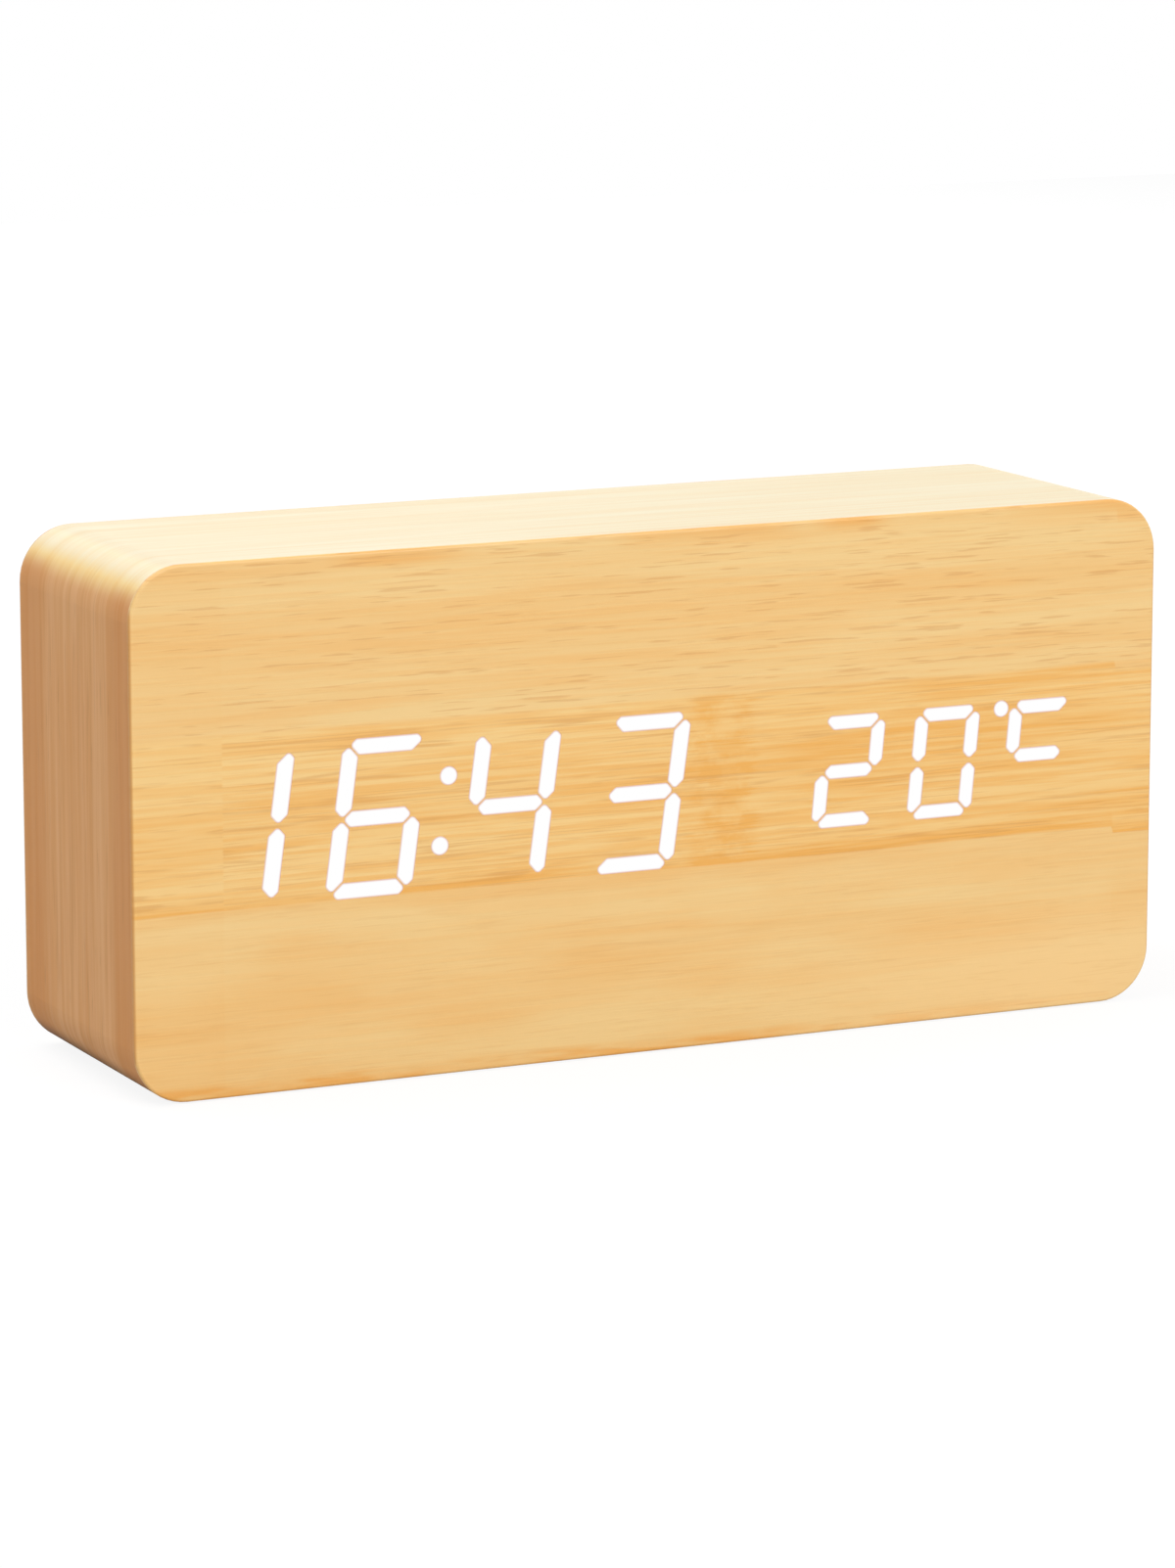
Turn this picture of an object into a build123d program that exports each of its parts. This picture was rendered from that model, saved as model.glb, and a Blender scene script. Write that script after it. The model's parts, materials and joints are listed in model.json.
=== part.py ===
from build123d import *
import math
import os

# Digital LED desk clock: a wood-veneered block whose digits shine through its front.
# Millimetres. X runs to the right as seen from the front, Y from the front to the rear, Z up.
# The origin is under the middle of the case, on the surface that the clock stands on.

# Case
case_width = 150.0
case_height = 70.0
case_depth = 40.0
corner_radius = 7.3
veneer_thickness = 0.6
edge_round = 0.4
front_board_thickness = 8.0
frame_wall = 7.0  # from the outside of the veneer to the cavity
cavity_corner_radius = 12.0
glue_gap = 0.03  # left between a piece and the opening that it is glued into
round_share = 0.9  # the most of a thickness that a rounding takes

# Time digits, measured along the middle of the strokes
time_digit_width = 9.96
time_digit_height = 18.86
time_stroke = 2.15  # of the lying segments
time_upright_stroke = 2.4
time_slant = 8.0  # degrees
time_pitch = 18.92
time_rise = 0.2  # of the digits' middle above the middle of the case
colon_dot_diameter = 2.5
colon_dot_spacing = 9.2

# Temperature digits, measured in the same way
temperature_digit_width = 7.86
temperature_digit_height = 13.3
temperature_stroke = 1.95
temperature_upright_stroke = 2.15
temperature_slant = 5.5  # degrees
temperature_pitch = 14.5
temperature_rise = 0.72
degree_dot_diameter = 2.3
degree_dot_offset = 6.3  # from the middle of the last sign towards the digits

# Shares of the width that the two groups of signs leave free; the rest is to the right of them
left_share = 0.1938
between_share = 0.4679

# Shape of a segment
segment_gap = 0.12  # taken off each end of a segment
segment_tip_shift = 0.3  # how far the mitred tip lies outside the middle of the stroke
segment_corner_round = 0.6

# Display module behind the veneer
reflector_margin = 1.0  # wall outside the outermost segments
window_gap = 0.2
diffuser_depth = 2.0
led_length = 1.0
led_width = 0.5
led_height = 0.5
display_board_thickness = 1.6
display_board_gap = 0.5  # from the board's edge to the cavity's wall
display_screw_inset_x = 9.5  # from the board's side to the screw
display_screw_inset_z = 7.0
chip_length = 18.0
chip_width = 7.5
chip_height = 2.2
chip_lift = 0.15
chip_leg_count = 14  # on each long side
chip_leg_pitch = 1.27
chip_leg_width = 0.4
chip_leg_thickness = 0.2
chip_leg_reach = 1.3
crystal_diameter = 2.0
crystal_length = 6.0
crystal_lift = 0.05
crystal_offset = 6.0  # from the chip's end

# Rear panel
rear_rim = 4.0  # width of the wood edge that frames the panel
panel_thickness = 3.0
panel_recess = 1.2  # of the panel below the rear edge
panel_gap = 0.2
panel_corner_radius = 3.3
panel_edge_round = 0.4
panel_screw_inset = 4.4  # from the panel's edges to the screw

# Screws
panel_screw_length = 10.0
board_screw_length = 5.0
display_screw_length = 6.0
screw_shank_radius = 1.0
screw_head_radius = 2.0
screw_head_height = 1.3
screw_hole_clearance = 0.3
screw_fit = 0.05  # between the shank and the pilot hole
screw_head_sink = 0.4  # of the head below the panel's face
cross_length = 2.4
cross_width = 0.55
cross_depth = 0.7

# Controls
button_radius = 3.5
button_gap = 0.2
button_proud = 1.0  # above the panel's face
button_edge_round = 0.5
button_flange_lip = 0.9
button_flange_thickness = 1.0
button_travel = 0.5
button_pitch = 12.0
button_rise = 7.5  # above the middle of the case
button_dish_radius = 5.2
button_dish_depth = 0.5
mark_size = 2.6
mark_depth = 0.3
mark_stroke = 0.5
switch_side = 6.0
switch_height = 3.5
plunger_radius = 1.7
plunger_gap = 0.15
plunger_proud = 1.2  # of the switch's body
plunger_seat_depth = 2.4  # of the hollow that the plunger moves in
plunger_floor_gap = 0.4  # left under the plunger at full travel

# Control board behind the rear panel
control_board_width = 36.0
control_board_thickness = 1.2
control_board_side_margin = 5.0  # from the cavity's side to the board
boss_radius = 2.4
boss_inset = 3.0
boss_above_button = 8.5
boss_hole_spare = 0.5  # of the pilot hole past the screw's tip

# Power socket, as offsets from the middle of the control board
jack_x = -9.0
jack_z = -9.0
jack_side = 8.0
jack_nose_radius = 3.2
jack_nose_gap = 0.2
jack_nose_sink = 0.3  # of the nose below the panel's face
jack_body_gap = 0.2
jack_bore_radius = 1.75
jack_bore_depth = 7.0
jack_pin_radius = 0.65
jack_pin_fit = 0.02
jack_pin_sink = 1.2  # of the pin below the nose
jack_pin_round_share = 0.6  # of the pin's radius

# Sounder, microphone and temperature sensor, placed in the same way
buzzer_x = 2.0
buzzer_z = -9.5
buzzer_radius = 5.5
buzzer_height = 4.8
buzzer_port_radius = 1.0
buzzer_port_depth = 1.5
sound_hole_radius = 0.6
sound_hole_count = 6
sound_hole_ring = 2.3
microphone_x = 12.5
microphone_z = -2.5
microphone_radius = 3.0
microphone_height = 2.5
microphone_hole_radius = 0.75
sensor_x = 12.5
sensor_z = -9.5
sensor_bead_radius = 1.2
sensor_wire_radius = 0.25
sensor_wire_spacing = 1.2
sensor_depth = 2.0  # of the bead behind the panel
vent_slot_length = 6.0
vent_slot_width = 0.8
vent_slot_pitch = 1.8
vent_slot_count = 3

# Batteries: three AAA cells side by side, in turn head to tail
cell_diameter = 10.5
cell_length = 44.5
cell_nub_radius = 1.9
cell_nub_length = 0.8
cell_edge_round = 0.6
cell_pitch = 11.2
cell_count = 3
cell_gap = 0.2  # under the cells
cover_cell_gap = 0.5  # between the cells and the cover
bay_offset = 24.0  # of the battery bay's middle from the middle of the case
tub_wall = 1.2
tub_rib_length = 33.0
tub_rib_height = 1.6
tub_rib_width = 0.8
contact_thickness = 0.4
contact_width = 8.0
contact_margin = 0.6  # between a contact's edges and the tub's floor and mouth
contact_pip_radius = 1.6
contact_pip_height = 0.6
leaf_reach = 4.0  # from the wall to where the leaf meets the cell
leaf_width = 5.0
leaf_cell_gap = 0.05
tab_width = 2.4
tab_length = 3.0  # outside the tub
tab_slot_gap = 0.1

# Battery cover
cover_thickness = 2.0
cover_lip = 1.6  # of the cover past the bay on every side
cover_gap = 0.2
cover_seat_gap = 0.15
cover_edge_round = 0.3
hinge_pin_radius = 0.5
hinge_pin_length = 1.0
hinge_pin_fit = 0.08
latch_width = 12.0
latch_length = 7.0
latch_slit = 0.8
grip_rib_count = 4
grip_rib_pitch = 1.4
grip_rib_height = 0.4
grip_rib_width = 0.7
grip_rib_inset = 1.6  # from the cover's top edge to the first rib
nail_notch_radius = 6.5
nail_notch_depth = 1.2
nail_notch_height = 3.0

# Wiring
header_length = 10.0
header_width = 3.0
header_height = 3.5
header_rise = 7.0  # of one header above the middle of the case, and of the other below it
ribbon_width = 8.0
ribbon_thickness = 0.9
ribbon_bend = 3.5
lead_radius = 0.6
lead_board_gap = 0.1
lead_bend = 9.0
lead_run = 8.0  # straight out of the terminal before the bend
lead_pad_inset = 4.0  # from the control board's edge to the solder pad
red_pad_rise = 8.0
black_pad_rise = -1.0
red_lead_rise = 2.0  # above the battery tub

# Planes that the pieces share
mid_z = case_height / 2
front_y = -case_depth / 2
rear_y = case_depth / 2
veneer_rear_y = front_y + veneer_thickness
board_rear_y = veneer_rear_y + front_board_thickness
display_board_rear_y = board_rear_y + display_board_thickness
rim_rear_y = rear_y - veneer_thickness
panel_outer_y = rear_y - panel_recess
panel_inner_y = panel_outer_y - panel_thickness
switch_top_y = panel_inner_y - button_flange_thickness - plunger_proud
control_rear_y = switch_top_y - switch_height
control_front_y = control_rear_y - control_board_thickness
lead_y = control_front_y - lead_board_gap - lead_radius

# Outlines that the pieces share
core_width = case_width - 2 * veneer_thickness
core_height = case_height - 2 * veneer_thickness
core_radius = corner_radius - veneer_thickness
cavity_width = case_width - 2 * frame_wall
cavity_height = case_height - 2 * frame_wall
rebate_width = case_width - 2 * rear_rim
rebate_height = case_height - 2 * rear_rim
panel_width = rebate_width - 2 * panel_gap
panel_height = rebate_height - 2 * panel_gap
display_board_width = cavity_width - 2 * display_board_gap
display_board_height = cavity_height - 2 * display_board_gap
boss_rise = button_rise + boss_above_button
control_board_height = 2 * (boss_rise + boss_inset)
control_x = -cavity_width / 2 + control_board_side_margin + control_board_width / 2

# Battery bay
positive_room = contact_thickness + contact_pip_height
bay_length = positive_room + cell_length + leaf_reach
bay_height = cell_count * cell_pitch
bay_left = bay_offset - bay_length / 2
bay_right = bay_offset + bay_length / 2
bay_top = mid_z + bay_height / 2
cover_width = bay_length + 2 * cover_lip
cover_height = bay_height + 2 * cover_lip
cover_top = mid_z + cover_height / 2
cover_inner_y = panel_outer_y - cover_thickness
cell_y = cover_inner_y - cover_cell_gap - cell_diameter / 2
tub_floor_y = cell_y - cell_diameter / 2 - cell_gap
hinge_y = panel_outer_y - cover_thickness / 2
hinge_z = mid_z - cover_height / 2 + cover_thickness / 2

# What the display shows
segments_of = {
    "0": "abcdef",
    "1": "bc",
    "2": "abdeg",
    "3": "abcdg",
    "4": "bcfg",
    "6": "acdefg",
    "raised C": "afg",
}
time_signs = ["1", "6", "4", "3"]
temperature_signs = ["2", "0", "raised C"]

# Width, height and both strokes of the signs of each group
time_size = (time_digit_width, time_digit_height, time_stroke, time_upright_stroke)
temperature_size = (
    temperature_digit_width,
    temperature_digit_height,
    temperature_stroke,
    temperature_upright_stroke,
)

# Places of the four screws of each set, as x and z
panel_screw_places = [
    (x * (panel_width / 2 - panel_screw_inset), mid_z + z * (panel_height / 2 - panel_screw_inset))
    for x in (-1, 1)
    for z in (-1, 1)
]
display_screw_places = [
    (
        x * (display_board_width / 2 - display_screw_inset_x),
        mid_z + z * (display_board_height / 2 - display_screw_inset_z),
    )
    for x in (-1, 1)
    for z in (-1, 1)
]
control_screw_places = [
    (control_x + x * (control_board_width / 2 - boss_inset), mid_z + z * boss_rise)
    for x in (-1, 1)
    for z in (-1, 1)
]

# Seen from the rear, the buttons read set, up, down from left to right.
button_places = {
    "set": control_x + button_pitch,
    "up": control_x,
    "down": control_x - button_pitch,
}
button_z = mid_z + button_rise


def plate(outline, front, rear):
    """A flat outline, drawn in X and Z, made solid from y = front to y = rear."""
    return extrude(Plane((0, rear, 0), x_dir=(1, 0, 0), z_dir=(0, -1, 0)) * outline, rear - front)


def rounded(width, height, radius, x=0.0, z=mid_z):
    return Pos(x, z) * RectangleRounded(width, height, radius)


def post(radius, x, z, front, rear):
    return plate(Pos(x, z) * Circle(radius), front, rear)


def block(width, height, x, z, front, rear):
    return plate(Pos(x, z) * Rectangle(width, height), front, rear)


def rod_along_x(radius, left, right, y, z):
    return Pos((left + right) / 2, y, z) * Rot(0, 90, 0) * Cylinder(radius, right - left)


def on_control_board(x, z):
    """A place given from the middle of the control board, as x and z of the clock."""
    return control_x + x, mid_z + z


# Segments and digits

def segment_points(name, width, height, stroke, upright_stroke):
    """Corners of one segment of a digit that doesn't lean. b, c, e and f stand, a, d and g lie."""
    half_width = width / 2
    half_height = height / 2
    half_stroke = stroke / 2
    half_upright = upright_stroke / 2
    tip = segment_tip_shift
    gap = segment_gap
    if name == "g":
        end = half_width - gap
        shoulder = end - half_stroke
        return [
            (-end, 0),
            (-shoulder, half_stroke),
            (shoulder, half_stroke),
            (end, 0),
            (shoulder, -half_stroke),
            (-shoulder, -half_stroke),
        ]
    if name in "ad":
        inner = half_width - half_stroke - gap
        point = half_width + tip - gap
        outer = point - half_stroke + tip
        upper = [
            (-inner, half_height - half_stroke),
            (-point, half_height + tip),
            (-outer, half_height + half_stroke),
            (outer, half_height + half_stroke),
            (point, half_height + tip),
            (inner, half_height - half_stroke),
        ]
        return upper if name == "a" else [(u, -v) for u, v in upper]
    inner = half_height - half_upright - gap
    point = half_height + tip - gap
    right_upper = [
        (half_width - half_upright, inner),
        (half_width + tip, point),
        (half_width + half_upright, point - half_upright + tip),
        (half_width + half_upright, half_upright + gap),
        (half_width, gap),
        (half_width - half_upright, half_upright + gap),
    ]
    side = 1 if name in "bc" else -1
    end = 1 if name in "bf" else -1
    return [(side * u, end * v) for u, v in right_upper]


def segment_outline(name, width, height, stroke, upright_stroke, slant, x, z):
    lean = math.tan(math.radians(slant))
    corners = segment_points(name, width, height, stroke, upright_stroke)
    outline = make_face(Polyline(*[(x + u + v * lean, z + v) for u, v in corners], close=True))
    mitre_room = min(stroke, upright_stroke) / 2 - segment_tip_shift
    return fillet(outline.vertices(), min(segment_corner_round, round_share * mitre_room))


def segment_middle(name, width, height, slant, x, z):
    """The middle of a segment and the angle in degrees that it lies at."""
    u = {"b": 0.5, "c": 0.5, "e": -0.5, "f": -0.5}.get(name, 0.0) * width
    v = {"a": 0.5, "b": 0.25, "c": -0.25, "d": -0.5, "e": -0.25, "f": 0.25, "g": 0.0}[name] * height
    angle = 0.0 if name in "adg" else 90.0 - slant
    return x + u + v * math.tan(math.radians(slant)), z + v, angle


def sign_reach(width, height, stroke, upright_stroke, slant):
    """From the middle of a sign to the side of the reflector that holds it."""
    lean = math.tan(math.radians(slant))
    return (width + upright_stroke) / 2 + lean * (height + stroke) / 2 + reflector_margin


def digit_middles():
    """The middles of the time's digits and of the temperature's signs, from left to right."""
    time_reach = sign_reach(*time_size, time_slant)
    temperature_reach = sign_reach(*temperature_size, temperature_slant)
    time_span = (len(time_signs) - 1) * time_pitch
    temperature_span = (len(temperature_signs) - 1) * temperature_pitch
    free = case_width - time_span - temperature_span - 2 * time_reach - 2 * temperature_reach
    first_time = -case_width / 2 + left_share * free + time_reach
    first_temperature = first_time + time_span + time_reach + between_share * free + temperature_reach
    times = [first_time + place * time_pitch for place in range(len(time_signs))]
    temperatures = [first_temperature + place * temperature_pitch for place in range(len(temperature_signs))]
    return times, temperatures


def time_outlines():
    """(outline, lit, x, z, angle) of every segment and dot of the time."""
    z = mid_z + time_rise
    middles, _ = digit_middles()
    width, height, *_ = time_size
    found = []
    for x, sign in zip(middles, time_signs):
        for name in "abcdefg":
            outline = segment_outline(name, *time_size, time_slant, x, z)
            place = segment_middle(name, width, height, time_slant, x, z)
            found.append((outline, name in segments_of[sign], *place))
    colon_x = (middles[1] + middles[2]) / 2
    for side in (-1, 1):
        rise = side * colon_dot_spacing / 2
        dot_x = colon_x + rise * math.tan(math.radians(time_slant))
        found.append((Pos(dot_x, z + rise) * Circle(colon_dot_diameter / 2), True, dot_x, z + rise, 0.0))
    return found


def temperature_outlines():
    """(outline, lit, x, z, angle) of every segment and dot of the temperature."""
    z = mid_z + temperature_rise
    _, middles = digit_middles()
    width, height, *_ = temperature_size
    found = []
    for x, sign in zip(middles, temperature_signs):
        for name in "abcdefg":
            outline = segment_outline(name, *temperature_size, temperature_slant, x, z)
            place = segment_middle(name, width, height, temperature_slant, x, z)
            found.append((outline, name in segments_of[sign], *place))
    rise = height / 2
    dot_x = middles[-1] - degree_dot_offset + rise * math.tan(math.radians(temperature_slant))
    found.append((Pos(dot_x, z + rise) * Circle(degree_dot_diameter / 2), True, dot_x, z + rise, 0.0))
    return found


def reflector_place(outlines):
    """Width, height, x and z of the block that holds these segments."""
    box = Compound([outline for outline, *_ in outlines]).bounding_box()
    width = box.size.X + 2 * reflector_margin
    height = box.size.Y + 2 * reflector_margin
    return width, height, box.center().X, box.center().Y


# Screws

def screw(x, z, seat_y, length, into):
    """A pan-head screw whose head sits at seat_y. into is -1 for a shank to the front, 1 to the rear."""
    head_end = seat_y - into * screw_head_height
    tip = seat_y + into * length
    head = post(screw_head_radius, x, z, min(seat_y, head_end), max(seat_y, head_end))
    shank = post(screw_shank_radius, x, z, min(seat_y, tip), max(seat_y, tip))
    recess_end = head_end + into * cross_depth
    recess = [min(head_end, recess_end), max(head_end, recess_end)]
    cross = block(cross_length, cross_width, x, z, *recess) + block(cross_width, cross_length, x, z, *recess)
    return head + shank - cross


def screw_set(places, seat_y, length, into):
    return Compound([screw(x, z, seat_y, length, into) for x, z in places])


def pilot_holes(places, seat_y, length, into):
    tip = seat_y + into * (length + boss_hole_spare)
    radius = screw_shank_radius + screw_fit
    return [post(radius, x, z, min(seat_y, tip), max(seat_y, tip)) for x, z in places]


panel_screw_seat_y = panel_outer_y - screw_head_sink - screw_head_height


# Case

def make_front_veneer(lit_outlines):
    sheet = plate(rounded(case_width, case_height, corner_radius), front_y, veneer_rear_y)
    sheet = fillet(sheet.edges().group_by(Axis.Y)[0], min(edge_round, round_share * veneer_thickness))
    return sheet - [plate(offset(outline, glue_gap), front_y, veneer_rear_y) for outline in lit_outlines]


def make_lit_segments(lit_outlines):
    return Compound([plate(outline, front_y, veneer_rear_y) for outline in lit_outlines])


def make_rim_veneer():
    outside = plate(rounded(case_width, case_height, corner_radius), veneer_rear_y, rim_rear_y)
    return outside - plate(rounded(core_width, core_height, core_radius), veneer_rear_y, rim_rear_y)


def rebate_outline():
    return rounded(rebate_width, rebate_height, panel_corner_radius + panel_gap)


def make_rear_edge_veneer():
    ring = plate(rounded(case_width, case_height, corner_radius), rim_rear_y, rear_y)
    ring = fillet(ring.edges().group_by(Axis.Y)[-1], min(edge_round, round_share * veneer_thickness))
    return ring - plate(rebate_outline(), rim_rear_y, rear_y)


def make_front_board(reflectors):
    board = plate(rounded(core_width, core_height, core_radius), veneer_rear_y, board_rear_y)
    windows = [
        block(width + 2 * window_gap, height + 2 * window_gap, x, z, veneer_rear_y, board_rear_y)
        for width, height, x, z in reflectors
    ]
    display_pilots = pilot_holes(
        display_screw_places, display_board_rear_y, display_board_thickness + display_screw_length, -1
    )
    return board - windows - display_pilots


def make_case_frame():
    frame = plate(rounded(core_width, core_height, core_radius), board_rear_y, rim_rear_y)
    cavity = plate(rounded(cavity_width, cavity_height, cavity_corner_radius), board_rear_y, rim_rear_y)
    rebate = plate(rebate_outline(), panel_inner_y, rim_rear_y)
    pilots = pilot_holes(panel_screw_places, panel_screw_seat_y, panel_screw_length, -1)
    return frame - cavity - rebate - pilots


# Display

def make_reflector(outlines, place):
    width, height, x, z = place
    housing = block(width, height, x, z, veneer_rear_y, board_rear_y)
    return housing - [plate(outline, veneer_rear_y, board_rear_y) for outline, *_ in outlines]


def make_diffusers(outlines):
    rear = veneer_rear_y + diffuser_depth
    return Compound([plate(offset(outline, -glue_gap), veneer_rear_y, rear) for outline, *_ in outlines])


def make_display_leds(outlines):
    front = board_rear_y - led_height
    return Compound(
        [
            plate(Pos(x, z) * Rot(0, 0, angle) * Rectangle(led_length, led_width), front, board_rear_y)
            for _, _, x, z, angle in outlines
        ]
    )


def make_display_board():
    radius = cavity_corner_radius - display_board_gap
    outline = rounded(display_board_width, display_board_height, radius)
    board = plate(outline, board_rear_y, display_board_rear_y)
    hole = screw_shank_radius + screw_hole_clearance
    return board - [post(hole, x, z, board_rear_y, display_board_rear_y) for x, z in display_screw_places]


def make_controller_chip():
    front = display_board_rear_y + chip_lift
    return block(chip_length, chip_width, 0.0, mid_z, front, front + chip_height)


def make_chip_legs():
    knee_y = display_board_rear_y + chip_lift + chip_height / 2
    shape = Polyline(
        (chip_width / 2, knee_y),
        (chip_width / 2 + chip_leg_reach / 2, knee_y),
        (chip_width / 2 + chip_leg_reach / 2, display_board_rear_y + chip_leg_thickness / 2),
        (chip_width / 2 + chip_leg_reach, display_board_rear_y + chip_leg_thickness / 2),
    )
    outline = trace(shape, chip_leg_thickness)
    knee_x = (chip_width - chip_leg_thickness) / 2
    outline -= Pos(knee_x, knee_y) * Rectangle(chip_leg_thickness, chip_height)
    legs = []
    for number in range(chip_leg_count):
        left = (number - (chip_leg_count - 1) / 2) * chip_leg_pitch - chip_leg_width / 2
        for side in (-1, 1):
            across = Plane((left, 0, mid_z), x_dir=(0, 0, side), z_dir=(-side, 0, 0))
            legs.append(extrude(across * outline, -side * chip_leg_width))
    return Compound(legs)


def make_timing_crystal():
    left = chip_length / 2 + crystal_offset
    y = display_board_rear_y + crystal_lift + crystal_diameter / 2
    return rod_along_x(crystal_diameter / 2, left, left + crystal_length, y, mid_z)


# Rear panel

def cover_outline(grow):
    return Pos(bay_offset, mid_z) * Rectangle(cover_width + 2 * grow, cover_height + 2 * grow)


def sound_hole_places():
    x, z = on_control_board(buzzer_x, buzzer_z)
    ring = [2 * math.pi * number / sound_hole_count for number in range(sound_hole_count)]
    return [(x, z)] + [(x + sound_hole_ring * math.cos(a), z + sound_hole_ring * math.sin(a)) for a in ring]


def make_rear_panel():
    panel = plate(rounded(panel_width, panel_height, panel_corner_radius), panel_inner_y, panel_outer_y)
    panel = fillet(panel.edges().group_by(Axis.Y)[-1], panel_edge_round)
    panel += [post(boss_radius, x, z, control_rear_y, panel_inner_y) for x, z in control_screw_places]
    through = (panel_inner_y, panel_outer_y)
    cuts = []
    for x, z in panel_screw_places:
        cuts.append(post(screw_shank_radius + screw_hole_clearance, x, z, *through))
        cuts.append(post(screw_head_radius + screw_hole_clearance, x, z, panel_screw_seat_y, panel_outer_y))
    for x in button_places.values():
        cuts.append(post(button_radius + button_gap, x, button_z, *through))
        cuts.append(post(button_dish_radius, x, button_z, panel_outer_y - button_dish_depth, panel_outer_y))
    cuts.append(post(jack_nose_radius + jack_nose_gap, *on_control_board(jack_x, jack_z), *through))
    cuts += [post(sound_hole_radius, x, z, *through) for x, z in sound_hole_places()]
    cuts.append(post(microphone_hole_radius, *on_control_board(microphone_x, microphone_z), *through))
    vent_x, vent_z = on_control_board(sensor_x, sensor_z)
    for number in range(vent_slot_count):
        z = vent_z + (number - (vent_slot_count - 1) / 2) * vent_slot_pitch
        cuts.append(plate(Pos(vent_x, z) * SlotOverall(vent_slot_length, vent_slot_width), *through))
    cuts.append(block(bay_length, bay_height, bay_offset, mid_z, *through))
    cuts.append(plate(cover_outline(cover_gap), cover_inner_y - cover_seat_gap, panel_outer_y))
    pin_reach = cover_width / 2 + hinge_pin_length + cover_gap
    cuts.append(
        rod_along_x(
            hinge_pin_radius + hinge_pin_fit, bay_offset - pin_reach, bay_offset + pin_reach, hinge_y, hinge_z
        )
    )
    notch_z = cover_top + cover_gap + nail_notch_height - nail_notch_radius
    cuts.append(post(nail_notch_radius, bay_offset, notch_z, panel_outer_y - nail_notch_depth, panel_outer_y))
    cuts += pilot_holes(control_screw_places, control_front_y, board_screw_length, 1)
    return panel - cuts


# Controls

def button_mark(name):
    """A plain moulded sign: a ring, a triangle up or a triangle down."""
    if name == "set":
        return Circle(mark_size / 2) - Circle(mark_size / 2 - mark_stroke)
    turn = 90 if name == "up" else -90
    return Rot(0, 0, turn) * RegularPolygon(mark_size / 2, 3)


def make_button(name):
    x = button_places[name]
    top_y = panel_outer_y + button_proud
    cap = post(button_radius, x, button_z, panel_inner_y, top_y)
    cap = fillet(cap.edges().group_by(Axis.Y)[-1], button_edge_round)
    flange_y = panel_inner_y - button_flange_thickness
    flange = post(button_radius + button_flange_lip, x, button_z, flange_y, panel_inner_y)
    mark = plate(Pos(x, button_z) * button_mark(name), top_y - mark_depth, top_y)
    return cap + flange - mark


def make_switch(name):
    x = button_places[name]
    housing = block(switch_side, switch_side, x, button_z, control_rear_y, switch_top_y)
    seat = post(plunger_radius + plunger_gap, x, button_z, switch_top_y - plunger_seat_depth, switch_top_y)
    return housing - seat


def make_plunger(name):
    foot_y = switch_top_y - plunger_seat_depth + button_travel + plunger_floor_gap
    top_y = panel_inner_y - button_flange_thickness
    return post(plunger_radius, button_places[name], button_z, foot_y, top_y)


def make_control_board():
    size = (control_board_width, control_board_height)
    board = block(*size, control_x, mid_z, control_front_y, control_rear_y)
    hole = screw_shank_radius + screw_hole_clearance
    return board - [post(hole, x, z, control_front_y, control_rear_y) for x, z in control_screw_places]


jack_mouth_y = panel_outer_y - jack_nose_sink


def make_dc_jack():
    x, z = on_control_board(jack_x, jack_z)
    housing = block(jack_side, jack_side, x, z, control_rear_y, panel_inner_y - jack_body_gap)
    housing += post(jack_nose_radius, x, z, panel_inner_y - jack_body_gap, jack_mouth_y)
    bore = post(jack_bore_radius, x, z, jack_mouth_y - jack_bore_depth, jack_mouth_y)
    return housing - bore - post(jack_pin_radius + jack_pin_fit, x, z, control_rear_y, jack_mouth_y)


def make_dc_jack_pin():
    x, z = on_control_board(jack_x, jack_z)
    pin = post(jack_pin_radius, x, z, control_rear_y, jack_mouth_y - jack_pin_sink)
    return fillet(pin.edges().group_by(Axis.Y)[-1], jack_pin_radius * jack_pin_round_share)


def make_buzzer():
    x, z = on_control_board(buzzer_x, buzzer_z)
    top_y = control_rear_y + buzzer_height
    can = post(buzzer_radius, x, z, control_rear_y, top_y)
    return can - post(buzzer_port_radius, x, z, top_y - buzzer_port_depth, top_y)


def make_microphone():
    return post(microphone_radius, *on_control_board(microphone_x, microphone_z), control_rear_y,
                control_rear_y + microphone_height)


def make_thermistor():
    x, z = on_control_board(sensor_x, sensor_z)
    bead_y = panel_inner_y - sensor_depth
    wires = [
        post(sensor_wire_radius, x + side * sensor_wire_spacing / 2, z, control_rear_y, bead_y)
        for side in (-1, 1)
    ]
    return Pos(x, bead_y, z) * Sphere(sensor_bead_radius) + wires


# Batteries

def row_z(row):
    return mid_z + (row - (cell_count - 1) / 2) * cell_pitch


def faces_right(row):
    """Whether the cell of this row has its nub towards +X."""
    return row % 2 == 0


def mirrored(shape):
    """The same shape at the other end of the battery bay."""
    return mirror(shape, Plane.YZ.offset(bay_offset))


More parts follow.
